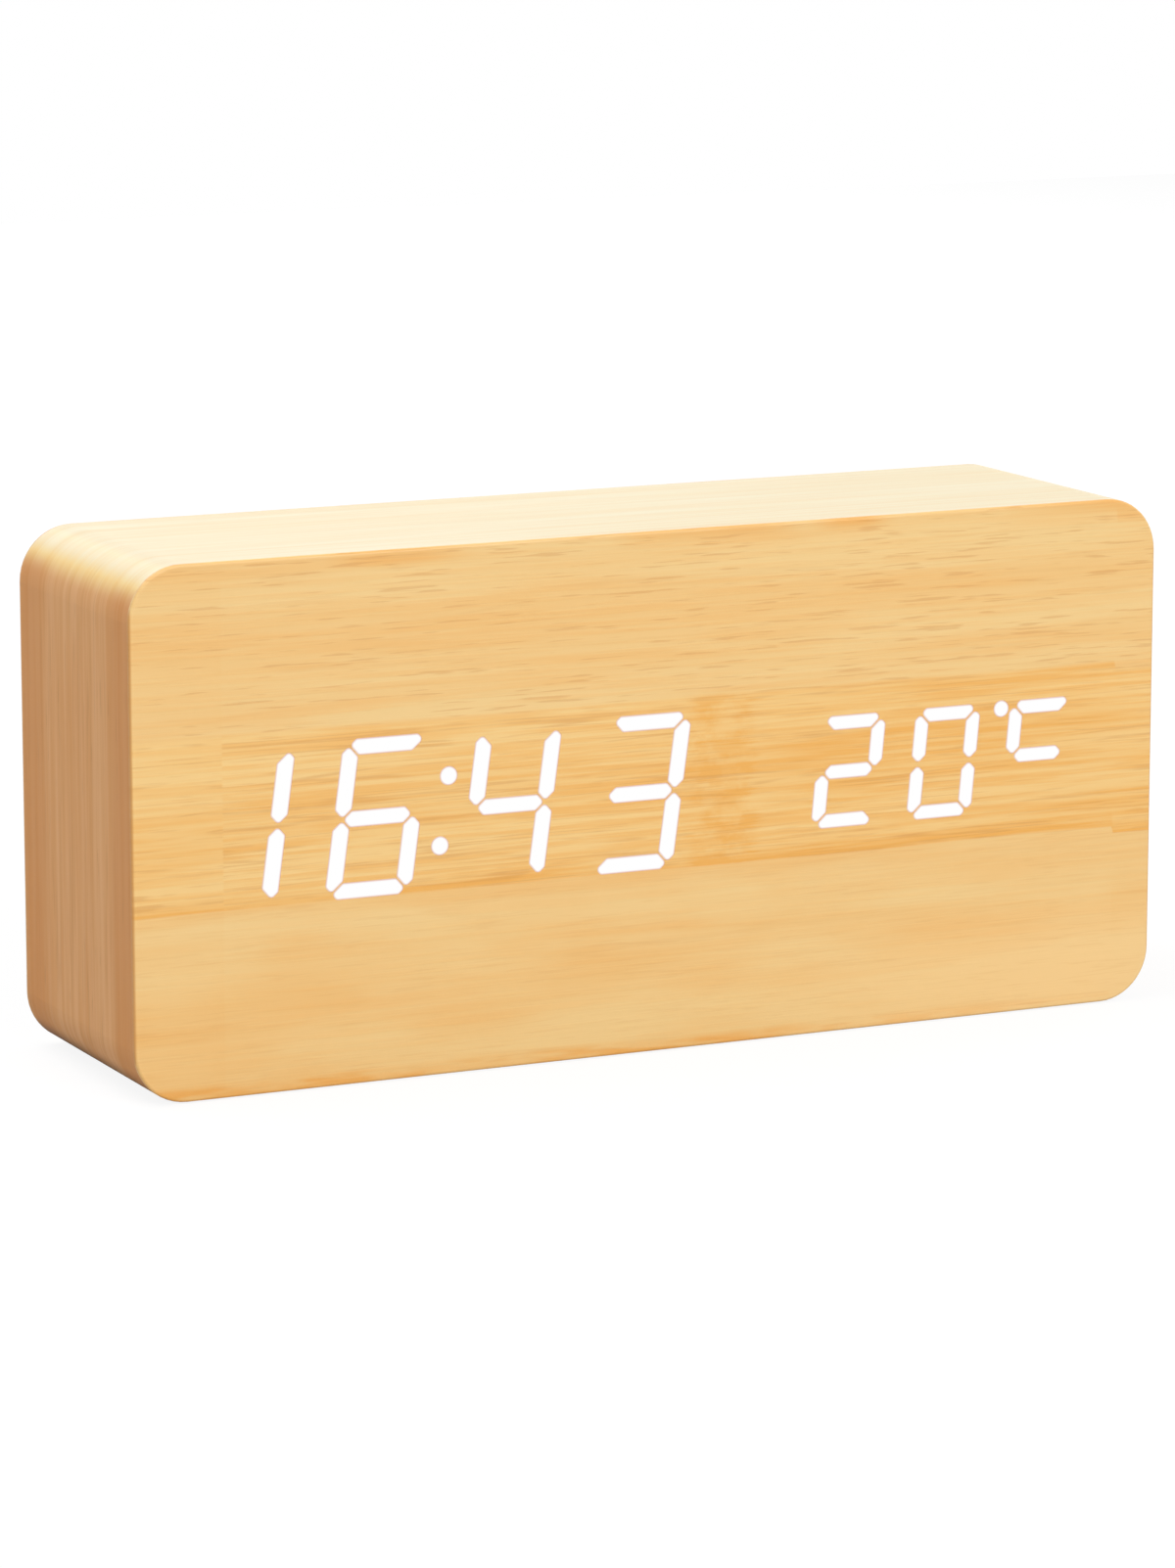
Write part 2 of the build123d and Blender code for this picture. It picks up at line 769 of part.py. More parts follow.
def make_battery_tub():
    outside = block(
        bay_length + 2 * tub_wall,
        bay_height + 2 * tub_wall,
        bay_offset,
        mid_z,
        tub_floor_y - tub_wall,
        panel_inner_y,
    )
    tub = outside - block(bay_length, bay_height, bay_offset, mid_z, tub_floor_y, panel_inner_y)
    for row in range(cell_count - 1):
        z = row_z(row) + cell_pitch / 2
        tub += block(tub_rib_length, tub_rib_width, bay_offset, z, tub_floor_y, tub_floor_y + tub_rib_height)
    slot_thickness = contact_thickness + 2 * tab_slot_gap
    slot_width = tab_width + 2 * tab_slot_gap
    black_slot = Pos(bay_left - tub_wall / 2, lead_y, row_z(0)) * Box(tub_wall, slot_thickness, slot_width)
    red_slot = Pos(bay_right - contact_thickness / 2, lead_y, bay_top + tub_wall / 2) * Box(
        slot_thickness, slot_width, tub_wall
    )
    return tub - black_slot - red_slot


def make_cell(row):
    left = bay_left + leaf_reach
    body_right = left + cell_length - cell_nub_length
    can = rod_along_x(cell_diameter / 2, left, body_right, cell_y, row_z(row))
    can = fillet(can.edges().filter_by(GeomType.CIRCLE), cell_edge_round)
    cell = can + rod_along_x(cell_nub_radius, body_right, body_right + cell_nub_length, cell_y, row_z(row))
    return cell if faces_right(row) else mirrored(cell)


def leaf(row):
    """The springy negative contact at the left end of a row."""
    root_y = tub_floor_y + contact_margin
    tip_y = panel_inner_y - contact_margin
    middle = contact_thickness / 2
    path = Polyline(
        (bay_left + middle, root_y),
        (bay_left + leaf_reach - leaf_cell_gap - contact_thickness, cell_y),
        (bay_left + leaf_reach / 2, tip_y),
    )
    return extrude(Plane.XY.offset(row_z(row) - leaf_width / 2) * trace(path, contact_thickness), leaf_width)


def pip(row):
    """The raised positive contact at the left end of a row."""
    face = bay_left + contact_thickness
    return rod_along_x(contact_pip_radius, face, face + contact_pip_height, cell_y, row_z(row))


def contact_plate(rows):
    """A plate on the left end wall that serves these rows."""
    low_y = tub_floor_y + contact_margin
    high_y = panel_inner_y - contact_margin
    height = row_z(max(rows)) - row_z(min(rows)) + contact_width
    middle_z = (row_z(min(rows)) + row_z(max(rows))) / 2
    middle = (bay_left + contact_thickness / 2, (low_y + high_y) / 2, middle_z)
    return Pos(*middle) * Box(contact_thickness, high_y - low_y, height)


def make_battery_contacts():
    black_reach = tub_wall + tab_length
    black_tab = Box(black_reach, contact_thickness, tab_width)
    black_tab = Pos(bay_left - black_reach / 2, lead_y, row_z(0)) * black_tab
    black_terminal = contact_plate([0]) + leaf(0) + black_tab
    left_link = contact_plate([1, 2]) + pip(1) + leaf(2)
    right_link = mirrored(contact_plate([0, 1]) + pip(0) + leaf(1))
    tab_low = row_z(2) + contact_width / 2
    tab_high = bay_top + tub_wall + tab_length
    red_tab = Pos(bay_right - contact_thickness / 2, lead_y, (tab_low + tab_high) / 2) * Box(
        contact_thickness, tab_width, tab_high - tab_low
    )
    red_terminal = mirrored(contact_plate([2]) + pip(2)) + red_tab
    return Compound([black_terminal, left_link, right_link, red_terminal])


def make_battery_cover():
    inner = cover_inner_y
    cover_z = (cover_top + hinge_z) / 2
    flap = block(cover_width, cover_top - hinge_z, bay_offset, cover_z, inner, panel_outer_y)
    sides_and_top = flap.edges().group_by(Axis.Y)[-1].sort_by(Axis.Z)[1:]
    flap = fillet(sides_and_top, cover_edge_round)
    half = cover_width / 2
    flap += rod_along_x(cover_thickness / 2, bay_offset - half, bay_offset + half, hinge_y, hinge_z)
    pin_end = half + hinge_pin_length
    flap += rod_along_x(hinge_pin_radius, bay_offset - pin_end, bay_offset + pin_end, hinge_y, hinge_z)
    slit_z = cover_top - latch_length / 2
    for side in (-1, 1):
        slit_x = bay_offset + side * (latch_width + latch_slit) / 2
        flap -= block(latch_slit, latch_length, slit_x, slit_z, inner, panel_outer_y)
    for number in range(grip_rib_count):
        z = cover_top - grip_rib_inset - number * grip_rib_pitch
        length = latch_width - 2 * grip_rib_inset
        flap += block(length, grip_rib_width, bay_offset, z, panel_outer_y, panel_outer_y + grip_rib_height)
    return flap


# Wiring

def make_header(rise, board_y, away):
    """A connector on a board. away is the side that it stands out to: -1 front, 1 rear."""
    end = board_y + away * header_height
    return block(header_length, header_width, control_x, mid_z + rise, min(board_y, end), max(board_y, end))


def make_ribbon_cable():
    start_y = control_front_y - header_height
    end_y = display_board_rear_y + header_height
    bend_y = (start_y + end_y) / 2
    path = FilletPolyline(
        (control_x, start_y, mid_z - header_rise),
        (control_x, bend_y, mid_z - header_rise),
        (control_x, bend_y, mid_z + header_rise),
        (control_x, end_y, mid_z + header_rise),
        radius=min(ribbon_bend, round_share * (start_y - end_y) / 2),
    )
    section = Plane((control_x, start_y, mid_z - header_rise), x_dir=(1, 0, 0), z_dir=(0, -1, 0))
    return sweep(section * Rectangle(ribbon_width, ribbon_thickness), path)


def make_lead(name, points):
    """A wire along points in X and Z that lies beside the control board."""
    path = FilletPolyline(*[(x, lead_y, z) for x, z in points], radius=lead_bend)
    print(name, "bend radius", lead_bend, "length", round(path.length, 1))
    heading = Vector(points[1][0] - points[0][0], 0, points[1][1] - points[0][1])
    section = Plane((points[0][0], lead_y, points[0][1]), z_dir=heading)
    wire = sweep(section * Circle(lead_radius), path)
    plain_volume = math.pi * lead_radius**2 * path.length
    print(name, "volume over section times length", round(wire.volume / plain_volume, 4))
    return wire


def make_leads():
    pad_x = control_x + control_board_width / 2 - lead_pad_inset
    black_start = bay_left - tub_wall - tab_length
    black_points = [
        (black_start, row_z(0)),
        (black_start - lead_run, row_z(0)),
        (pad_x, mid_z + black_pad_rise),
    ]
    red_z = bay_top + tub_wall + red_lead_rise
    red_points = [
        (bay_right - contact_thickness, red_z),
        (bay_left - lead_run, red_z),
        (pad_x, mid_z + red_pad_rise),
    ]
    return make_lead("red lead", red_points), make_lead("black lead", black_points)


def make_clock():
    time = time_outlines()
    temperature = temperature_outlines()
    time_lit = [outline for outline, lit, *_ in time if lit]
    temperature_lit = [outline for outline, lit, *_ in temperature if lit]
    time_place = reflector_place(time)
    temperature_place = reflector_place(temperature)
    red_lead, black_lead = make_leads()
    nodes = {
        "front_veneer": make_front_veneer(time_lit + temperature_lit),
        "lit_time_segments": make_lit_segments(time_lit),
        "lit_temperature_segments": make_lit_segments(temperature_lit),
        "rim_veneer": make_rim_veneer(),
        "rear_edge_veneer": make_rear_edge_veneer(),
        "front_board": make_front_board([time_place, temperature_place]),
        "case_frame": make_case_frame(),
        "time_reflector": make_reflector(time, time_place),
        "temperature_reflector": make_reflector(temperature, temperature_place),
        "time_diffusers": make_diffusers(time),
        "temperature_diffusers": make_diffusers(temperature),
        "display_leds": make_display_leds(time + temperature),
        "display_board": make_display_board(),
        "display_board_screws": screw_set(
            display_screw_places, display_board_rear_y, display_screw_length, -1
        ),
        "controller_chip": make_controller_chip(),
        "chip_legs": make_chip_legs(),
        "timing_crystal": make_timing_crystal(),
        "rear_panel": make_rear_panel(),
        "rear_panel_screws": screw_set(panel_screw_places, panel_screw_seat_y, panel_screw_length, -1),
        "control_board": make_control_board(),
        "control_board_screws": screw_set(control_screw_places, control_front_y, board_screw_length, 1),
        "dc_jack": make_dc_jack(),
        "dc_jack_pin": make_dc_jack_pin(),
        "buzzer": make_buzzer(),
        "microphone": make_microphone(),
        "thermistor": make_thermistor(),
        "battery_tub": make_battery_tub(),
        "aaa_cells": Compound([make_cell(row) for row in range(cell_count)]),
        "battery_contacts": make_battery_contacts(),
        "battery_cover": make_battery_cover(),
        "display_header": make_header(header_rise, display_board_rear_y, 1),
        "control_header": make_header(-header_rise, control_front_y, -1),
        "ribbon_cable": make_ribbon_cable(),
        "red_lead": red_lead,
        "black_lead": black_lead,
    }
    for name in button_places:
        nodes[name + "_button"] = make_button(name)
        nodes[name + "_switch"] = make_switch(name)
        nodes[name + "_plunger"] = make_plunger(name)
    return nodes


os.makedirs("parts", exist_ok=True)
for node, shape in make_clock().items():
    export_step(shape, f"parts/{node}.step")
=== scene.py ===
import json
import math
import bpy
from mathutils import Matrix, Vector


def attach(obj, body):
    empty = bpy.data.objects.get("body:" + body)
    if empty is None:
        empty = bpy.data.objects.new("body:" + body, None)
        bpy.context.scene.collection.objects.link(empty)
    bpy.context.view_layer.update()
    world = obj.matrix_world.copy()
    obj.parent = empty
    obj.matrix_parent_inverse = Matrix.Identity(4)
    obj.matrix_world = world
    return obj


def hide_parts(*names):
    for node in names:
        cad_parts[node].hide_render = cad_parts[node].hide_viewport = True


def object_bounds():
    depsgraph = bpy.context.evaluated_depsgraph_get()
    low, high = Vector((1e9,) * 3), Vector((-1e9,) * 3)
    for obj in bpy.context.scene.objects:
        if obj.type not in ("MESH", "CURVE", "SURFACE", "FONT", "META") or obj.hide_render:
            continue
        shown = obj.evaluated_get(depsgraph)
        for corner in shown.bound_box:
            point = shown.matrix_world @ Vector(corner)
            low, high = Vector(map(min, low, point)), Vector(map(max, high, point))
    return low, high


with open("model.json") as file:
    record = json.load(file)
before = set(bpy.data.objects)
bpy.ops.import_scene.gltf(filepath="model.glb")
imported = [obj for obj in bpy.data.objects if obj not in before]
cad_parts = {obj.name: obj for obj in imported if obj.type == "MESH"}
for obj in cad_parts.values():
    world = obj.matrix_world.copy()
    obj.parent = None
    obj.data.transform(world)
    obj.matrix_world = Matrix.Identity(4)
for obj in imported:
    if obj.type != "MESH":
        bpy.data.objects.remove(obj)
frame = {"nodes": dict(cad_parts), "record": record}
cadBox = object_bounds()
nodes = frame["nodes"]
scene = bpy.context.scene
scene.view_settings.view_transform = "Standard"
bpy.ops.object.select_all(action="DESELECT")
print("frame loaded,", len(nodes), "nodes")

middle = [(low + high) / 2 for low, high in zip(*cadBox)]
halfWidth = (cadBox[1][0] - cadBox[0][0]) / 2
halfHeight = (cadBox[1][2] - cadBox[0][2]) / 2


# helpers for node trees
def startFinish(name, color, roughness, metallic=0.0):
    finish = bpy.data.materials.new(name)
    finish.use_nodes = True
    tree = finish.node_tree
    shader = tree.nodes["Principled BSDF"]
    shader.inputs["Base Color"].default_value = (*color, 1.0)
    shader.inputs["Roughness"].default_value = roughness
    shader.inputs["Metallic"].default_value = metallic
    return finish, tree, shader


def feed(tree, socket, value):  # a link, a number or a colour
    if isinstance(value, bpy.types.NodeSocket):
        tree.links.new(value, socket)
    elif isinstance(value, tuple) and len(value) == 3:
        socket.default_value = (*value, 1.0)
    else:
        socket.default_value = value


def spot(tree):  # place on the piece, in metres
    return tree.nodes.new("ShaderNodeTexCoord").outputs["Object"]


def coordinate(tree, letter):  # X, Y or Z of that place
    split = tree.nodes.new("ShaderNodeSeparateXYZ")
    tree.links.new(spot(tree), split.inputs["Vector"])
    return split.outputs[letter]


def cells(tree, period, shift):  # places counted in cells of this size
    mapping = tree.nodes.new("ShaderNodeMapping")
    mapping.inputs["Scale"].default_value = [1.0 / side for side in period]
    mapping.inputs["Location"].default_value = shift
    tree.links.new(spot(tree), mapping.inputs["Vector"])
    return mapping.outputs["Vector"]


def cloud(tree, period, detail=2.0, rough=0.5, shift=(0.0, 0.0, 0.0), swirl=0.0):  # noise about 0.5
    noise = tree.nodes.new("ShaderNodeTexNoise")
    noise.inputs["Scale"].default_value = 1.0
    noise.inputs["Detail"].default_value = detail
    noise.inputs["Roughness"].default_value = rough
    noise.inputs["Distortion"].default_value = swirl
    tree.links.new(cells(tree, period, shift), noise.inputs["Vector"])
    return noise.outputs["Fac"]


def sums(tree, way, first, second=0.0, clamp=False):
    node = tree.nodes.new("ShaderNodeMath")
    node.operation = way
    node.use_clamp = clamp
    feed(tree, node.inputs[0], first)
    feed(tree, node.inputs[1], second)
    return node.outputs[0]


def plus(tree, first, second, clamp=False):
    return sums(tree, "ADD", first, second, clamp)


def minus(tree, first, second):
    return sums(tree, "SUBTRACT", first, second)


def times(tree, first, second):
    return sums(tree, "MULTIPLY", first, second)


def apart(tree, first, second):  # how far two numbers are from each other
    return sums(tree, "ABSOLUTE", minus(tree, first, second))


def between(tree, share, first, second):  # a number mixed from two
    return plus(tree, first, times(tree, minus(tree, second, first), share))


def step(tree, value, low, high, start=0.0, end=1.0):  # soft step from start to end
    node = tree.nodes.new("ShaderNodeMapRange")
    node.interpolation_type = "SMOOTHSTEP"
    feed(tree, node.inputs["Value"], value)
    for key, number in zip(("From Min", "From Max", "To Min", "To Max"), (low, high, start, end)):
        node.inputs[key].default_value = number
    return node.outputs["Result"]


def past(tree, value, place, blur, start=0.0, end=1.0):  # soft step over a joint
    return step(tree, value, place - blur, place + blur, start, end)


def grain(tree, limits, **noise):  # noise through a soft step
    return step(tree, cloud(tree, **noise), *limits)


hairLook = {"thin": (0.045, 0.004), "kept": (0.42, 0.60)}


def hairLines(tree, period, breaks, shift):  # thin broken lines along the grain
    fromLine = apart(tree, cloud(tree, period, detail=1.0, shift=shift), 0.5)
    kept = grain(tree, hairLook["kept"], period=breaks, rough=0.6, shift=shift)
    return times(tree, step(tree, fromLine, *hairLook["thin"]), kept)


def tint(tree, share, first, second):
    node = tree.nodes.new("ShaderNodeMix")
    node.data_type = "RGBA"
    feed(tree, node.inputs[0], share)
    feed(tree, node.inputs[6], first)
    feed(tree, node.inputs[7], second)
    return node.outputs[2]


def setColor(tree, shader, color):
    tree.links.new(color, shader.inputs["Base Color"])


def roughen(tree, shader, share, roughness, spread=0.05):  # duller where the share is high
    rough = step(tree, share, 0.0, 1.0, roughness - spread, roughness + spread)
    tree.links.new(rough, shader.inputs["Roughness"])


def relief(tree, shader, height, depth, strength):
    bump = tree.nodes.new("ShaderNodeBump")
    bump.inputs["Strength"].default_value = strength
    bump.inputs["Distance"].default_value = depth
    tree.links.new(height, bump.inputs["Height"])
    tree.links.new(bump.outputs["Normal"], shader.inputs["Normal"])


def wear(piece, *coats):
    piece.data.materials.clear()
    for coat in coats:
        piece.data.materials.append(coat)


# camera, as the photograph was taken
cameraLook = {
    "place": (-0.34564, -0.72379, 0.18559),
    "turn": -25.44,
    "tilt": 10.79,
    "lens": 138.5,
    "sensor": 36.0,
    "clip": (0.01, 50.0),
}
bpy.ops.object.camera_add(
    location=cameraLook["place"],
    rotation=(math.radians(90 - cameraLook["tilt"]), 0.0, math.radians(cameraLook["turn"])),
)
camera = bpy.context.object
camera.data.sensor_width = cameraLook["sensor"]
camera.data.lens = cameraLook["lens"]
camera.data.clip_start, camera.data.clip_end = cameraLook["clip"]
scene.camera = camera

# studio: white surroundings, a pale floor and four soft boxes
studio = {
    "white": (1.0, 1.0, 1.0, 1.0),
    "ambient": 0.28,
    "floorColor": (0.60, 0.60, 0.60),
    "floorRoughness": 0.8,
    "floorSize": 2.2,
    "floorDrop": 0.0002,
    "floorGlow": 0.80,
    "glowStrength": 1.12,
    "boxes": {
        "keyBox": {"aim": (0.14, -0.88, 0.42), "away": 1.5, "size": 0.9, "power": 14.2},
        "topBox": {"aim": (-0.42, 0.12, 0.90), "away": 1.2, "size": 0.8, "power": 7.3},
        "rearBox": {"aim": (0.78, 0.46, 0.42), "away": 1.2, "size": 0.6, "power": 2.8},
        "backBox": {"aim": (0.05, 0.92, 0.37), "away": 1.3, "size": 1.0, "power": 5.2},
    },
}

world = bpy.data.worlds.new("studioWorld")
scene.world = world
world.use_nodes = True
tree = world.node_tree
rays = tree.nodes.new("ShaderNodeLightPath")
seen = sums(tree, "MAXIMUM", rays.outputs["Is Camera Ray"], rays.outputs["Is Glossy Ray"])
seen = sums(tree, "MAXIMUM", seen, rays.outputs["Is Transmission Ray"])
level = plus(tree, times(tree, seen, 1.0 - studio["ambient"]), studio["ambient"])
tree.nodes["Background"].inputs["Color"].default_value = studio["white"]
tree.links.new(level, tree.nodes["Background"].inputs["Strength"])

for boxName, boxLook in studio["boxes"].items():
    reach = math.sqrt(sum(part * part for part in boxLook["aim"]))
    away = [part / reach * boxLook["away"] for part in boxLook["aim"]]
    boxAt = [start + part for start, part in zip(middle, away)]
    tilt = math.acos(away[2] / boxLook["away"])
    turn = math.atan2(away[0], -away[1])
    bpy.ops.object.light_add(type="AREA", location=boxAt, rotation=(tilt, 0.0, turn))
    softBox = bpy.context.object
    softBox.name = boxName
    softBox.data.shape = "SQUARE"
    softBox.data.size = boxLook["size"]
    softBox.data.energy = boxLook["power"]
    softBox.visible_camera = False

bpy.ops.mesh.primitive_plane_add(size=studio["floorSize"], location=(0.0, 0.0, -studio["floorDrop"]))
floor = bpy.context.object
floor.name = "floor"
floorFinish, tree, shader = startFinish("paleFloor", studio["floorColor"], studio["floorRoughness"])
shader.inputs["Specular IOR Level"].default_value = 0.0
rays = tree.nodes.new("ShaderNodeLightPath")
glow = tree.nodes.new("ShaderNodeEmission")
glow.inputs["Color"].default_value = studio["white"]
glow.inputs["Strength"].default_value = studio["glowStrength"]
mixer = tree.nodes.new("ShaderNodeMixShader")
tree.links.new(times(tree, rays.outputs["Is Camera Ray"], studio["floorGlow"]), mixer.inputs[0])
tree.links.new(shader.outputs[0], mixer.inputs[1])
tree.links.new(glow.outputs[0], mixer.inputs[2])
tree.links.new(mixer.outputs[0], tree.nodes["Material Output"].inputs["Surface"])
wear(floor, floorFinish)
print("studio ready")

# front veneer: three laminated strips, grain along the clock
# tuples for a soft step are from, to and, unless it goes from 0 to 1, start and end
frontLook = {
    "light": (0.890, 0.612, 0.260),
    "deep": (0.855, 0.425, 0.10),
    "middleLight": (0.915, 0.612, 0.242),
    "middleDeep": (0.865, 0.435, 0.092),
    "footPale": (0.960, 0.640, 0.280),
    "fleck": (0.62, 0.255, 0.052),
    "hair": (0.66, 0.31, 0.075),
    # darker side edges: the sheet's own edge, and painted shade on the rounding
    "edge": (0.68, 0.31, 0.08),
    "roughness": 0.41,
    "relief": (0.00002, 0.5),
    # joints between the strips, which waver, and butt joints near their ends
    "lowJoint": 0.0246,
    "lowBlur": 0.00015,
    "highJoint": 0.0474,
    "highBlur": 0.0005,
    "leftButt": -0.0625,
    "rightButt": 0.0690,
    "buttBlur": 0.0002,
    "buttStep": 0.0009,
    "waver": {"period": (0.05, 0.02, 0.02)},
    "waverBy": 0.0012,
    # broad bands, and long lines with their shares in each strip
    "broad": {"limits": (0.30, 0.72), "period": (0.09, 0.05, 0.007), "shift": (3.1, 0.0, 1.7), "swirl": 0.6},
    "broadShare": 0.40,
    "lift": 0.06,
    "lines": {
        "limits": (0.36, 0.66), "period": (0.026, 0.05, 0.0007),
        "detail": 3.0, "rough": 0.6, "shift": (0.3, 0.0, 5.2),
    },
    "endLines": {
        "limits": (0.36, 0.66), "period": (0.030, 0.05, 0.0009),
        "detail": 3.0, "rough": 0.6, "shift": (7.3, 0.0, 2.9),
    },
    "allLines": 0.15,
    "middleLines": 0.45,
    "highLines": 0.10,
    "endShare": 0.75,
    "endTone": 0.07,
    # slow changes along the strips
    "middleSlope": (-0.010, 0.050, -0.08, 0.10),
    "lowSlope": (-0.030, 0.020, 0.00, 0.13),
    "footSlope": (-0.055, 0.060, 0.21, -0.27),
    "nearFoot": (0.019, 0.004),
    "bleach": (0.0, 0.065, 0.0, 0.70),
    "blotches": {
        "limits": (0.3, 0.7, -0.13, 0.13), "period": (0.024, 0.05, 0.0065), "shift": (8.0, 0.0, 4.0),
    },
    # glue line, dark lines along the foot and the top, and a stain in the top one
    "glueRise": 0.0026,
    "glueTone": 0.46,
    "footLine": (0.0021, 0.0010),
    "footTone": {
        "limits": (0.36, 0.62, 0.12, 0.70), "period": (0.011, 0.03, 0.0016),
        "rough": 0.6, "shift": (5.0, 0.0, 2.0),
    },
    "topLine": (0.0672, 0.0692),
    "topTone": {
        "limits": (0.4, 0.65, 0.05, 0.55), "period": (0.03, 0.03, 0.01),
        "detail": 1.0, "shift": (7.0, 0.0, 0.0),
    },
    "stainAt": 0.028,
    "stainSides": (0.008, 0.001, 0.0, 0.7),
    "stainLine": (0.0680, 0.0696),
    # the stem's knuckle
    "knuckleAt": 0.0088,
    "knuckleSides": (0.0058, 0.0030),
    "ragged": {"period": (0.02, 0.02, 0.0006), "rough": 0.7, "shift": (1.0, 0.0, 9.0)},
    "raggedBy": 0.009,
    "mottle": {
        "limits": (0.36, 0.64, 0.06, 0.50), "period": (0.0040, 0.02, 0.0022), "detail": 3.0, "rough": 0.6,
    },
    # hairs and flecks
    "hairs": {"period": (0.05, 0.05, 0.0010), "breaks": (0.014, 0.05, 0.0020), "shift": (6.0, 0.0, 1.0)},
    "endHairs": {"period": (0.05, 0.05, 0.0013), "breaks": (0.010, 0.05, 0.0020), "shift": (1.7, 0.0, 6.4)},
    "allHairs": 0.10,
    "middleHairs": 0.30,
    "flecks": {"period": (0.0072, 0.05, 0.00034), "detail": 1.0, "shift": (2.0, 0.0, 3.0)},
    "crowds": {"period": (0.05, 0.05, 0.012), "detail": 1.0, "shift": (4.0, 0.0, 8.0)},
    "crowdShare": 0.18,
    "fleckLimits": (0.61, 0.72),
    "allFlecks": 0.10,
    "middleFlecks": 0.06,
    "highFlecks": 0.22,
    "grooveShare": 0.4,
    "edgeBand": (0.00035, 0.0001, 0.0, 0.8),
}


def frontVeneer():
    look = frontLook
    finish, tree, shader = startFinish("frontVeneer", look["light"], look["roughness"])
    x = coordinate(tree, "X")
    waver = minus(tree, cloud(tree, **look["waver"]), 0.5)
    height = plus(tree, coordinate(tree, "Z"), times(tree, waver, look["waverBy"]))
    height = plus(tree, height, past(tree, x, look["rightButt"], look["buttBlur"], 0.0, look["buttStep"]))
    aboveLow = past(tree, height, look["lowJoint"], look["lowBlur"])
    aboveHigh = past(tree, height, look["highJoint"], look["highBlur"])
    inLow = minus(tree, 1.0, aboveLow)
    inMiddle = minus(tree, aboveLow, aboveHigh)
    # broad bands of colour, then long fine lines, others in the short length left of its butt joint
    leftOfButt = past(tree, x, look["leftButt"], -look["buttBlur"])
    inEnd = times(tree, leftOfButt, inMiddle)
    lines = between(tree, inEnd, grain(tree, **look["lines"]), grain(tree, **look["endLines"]))
    lineShare = plus(tree, times(tree, inMiddle, look["middleLines"]), look["allLines"])
    lineShare = plus(tree, lineShare, times(tree, aboveHigh, look["highLines"]))
    lineShare = times(tree, lineShare, step(tree, leftOfButt, 0.0, 1.0, 1.0, look["endShare"]))
    tone = minus(tree, times(tree, grain(tree, **look["broad"]), look["broadShare"]), look["lift"])
    tone = plus(tree, tone, times(tree, lines, lineShare))
    tone = plus(tree, tone, times(tree, leftOfButt, look["endTone"]))
    # the middle strip deepens to the right, the foot of the low one to the left
    tone = plus(tree, tone, times(tree, inMiddle, step(tree, x, *look["middleSlope"])))
    nearFoot = step(tree, height, *look["nearFoot"])
    slope = between(tree, nearFoot, step(tree, x, *look["lowSlope"]), step(tree, x, *look["footSlope"]))
    slope = plus(tree, slope, grain(tree, **look["blotches"]))
    tone = plus(tree, tone, times(tree, inLow, slope))
    # the glue line and the darker edges of the sheet
    lowJoint = look["lowJoint"]
    nearGlue = step(tree, height, lowJoint + look["glueRise"], lowJoint, 0.0, look["glueTone"])
    tone = plus(tree, tone, times(tree, nearGlue, aboveLow))
    footLine = times(tree, step(tree, height, *look["footLine"]), grain(tree, **look["footTone"]))
    topLine = times(tree, step(tree, height, *look["topLine"]), grain(tree, **look["topTone"]))
    tone = plus(tree, plus(tree, tone, footLine), topLine)
    stain = step(tree, apart(tree, x, look["stainAt"]), *look["stainSides"])
    tone = plus(tree, tone, times(tree, stain, step(tree, height, *look["stainLine"])))
    # the knuckle of the stem, ragged across the middle strip
    ragged = minus(tree, cloud(tree, **look["ragged"]), 0.5)
    across = plus(tree, x, times(tree, ragged, look["raggedBy"]))
    knuckle = step(tree, apart(tree, across, look["knuckleAt"]), *look["knuckleSides"])
    knuckle = times(tree, times(tree, knuckle, inMiddle), grain(tree, **look["mottle"]))
    tone = plus(tree, tone, knuckle, clamp=True)
    pale = tint(tree, inMiddle, look["light"], look["middleLight"])
    dark = tint(tree, inMiddle, look["deep"], look["middleDeep"])
    wood = tint(tree, tone, pale, dark)
    bleached = times(tree, nearFoot, step(tree, x, *look["bleach"]))
    wood = tint(tree, bleached, wood, look["footPale"])
    # hair lines, closest in the middle strip
    hairs = between(tree, inEnd, hairLines(tree, **look["hairs"]), hairLines(tree, **look["endHairs"]))
    hairShare = plus(tree, times(tree, inMiddle, look["middleHairs"]), look["allHairs"])
    wood = tint(tree, times(tree, hairs, hairShare), wood, look["hair"])
    # short dark flecks, most of them above
    crowded = times(tree, minus(tree, cloud(tree, **look["crowds"]), 0.5), look["crowdShare"])
    flecks = plus(tree, cloud(tree, **look["flecks"]), crowded)
    fleckShare = plus(tree, times(tree, aboveHigh, look["highFlecks"]), look["allFlecks"])
    fleckShare = plus(tree, fleckShare, times(tree, inMiddle, look["middleFlecks"]))
    flecks = times(tree, step(tree, flecks, *look["fleckLimits"]), fleckShare)
    wood = tint(tree, flecks, wood, look["fleck"])
    # darker at its sides: the sheet's own edge, and painted shade on the rounding there
    fromSide = minus(tree, halfWidth, apart(tree, x, middle[0]))
    setColor(tree, shader, tint(tree, step(tree, fromSide, *look["edgeBand"]), wood, look["edge"]))
    roughen(tree, shader, lines, look["roughness"])
    relief(tree, shader, minus(tree, lines, times(tree, flecks, look["grooveShare"])), *look["relief"])
    return finish


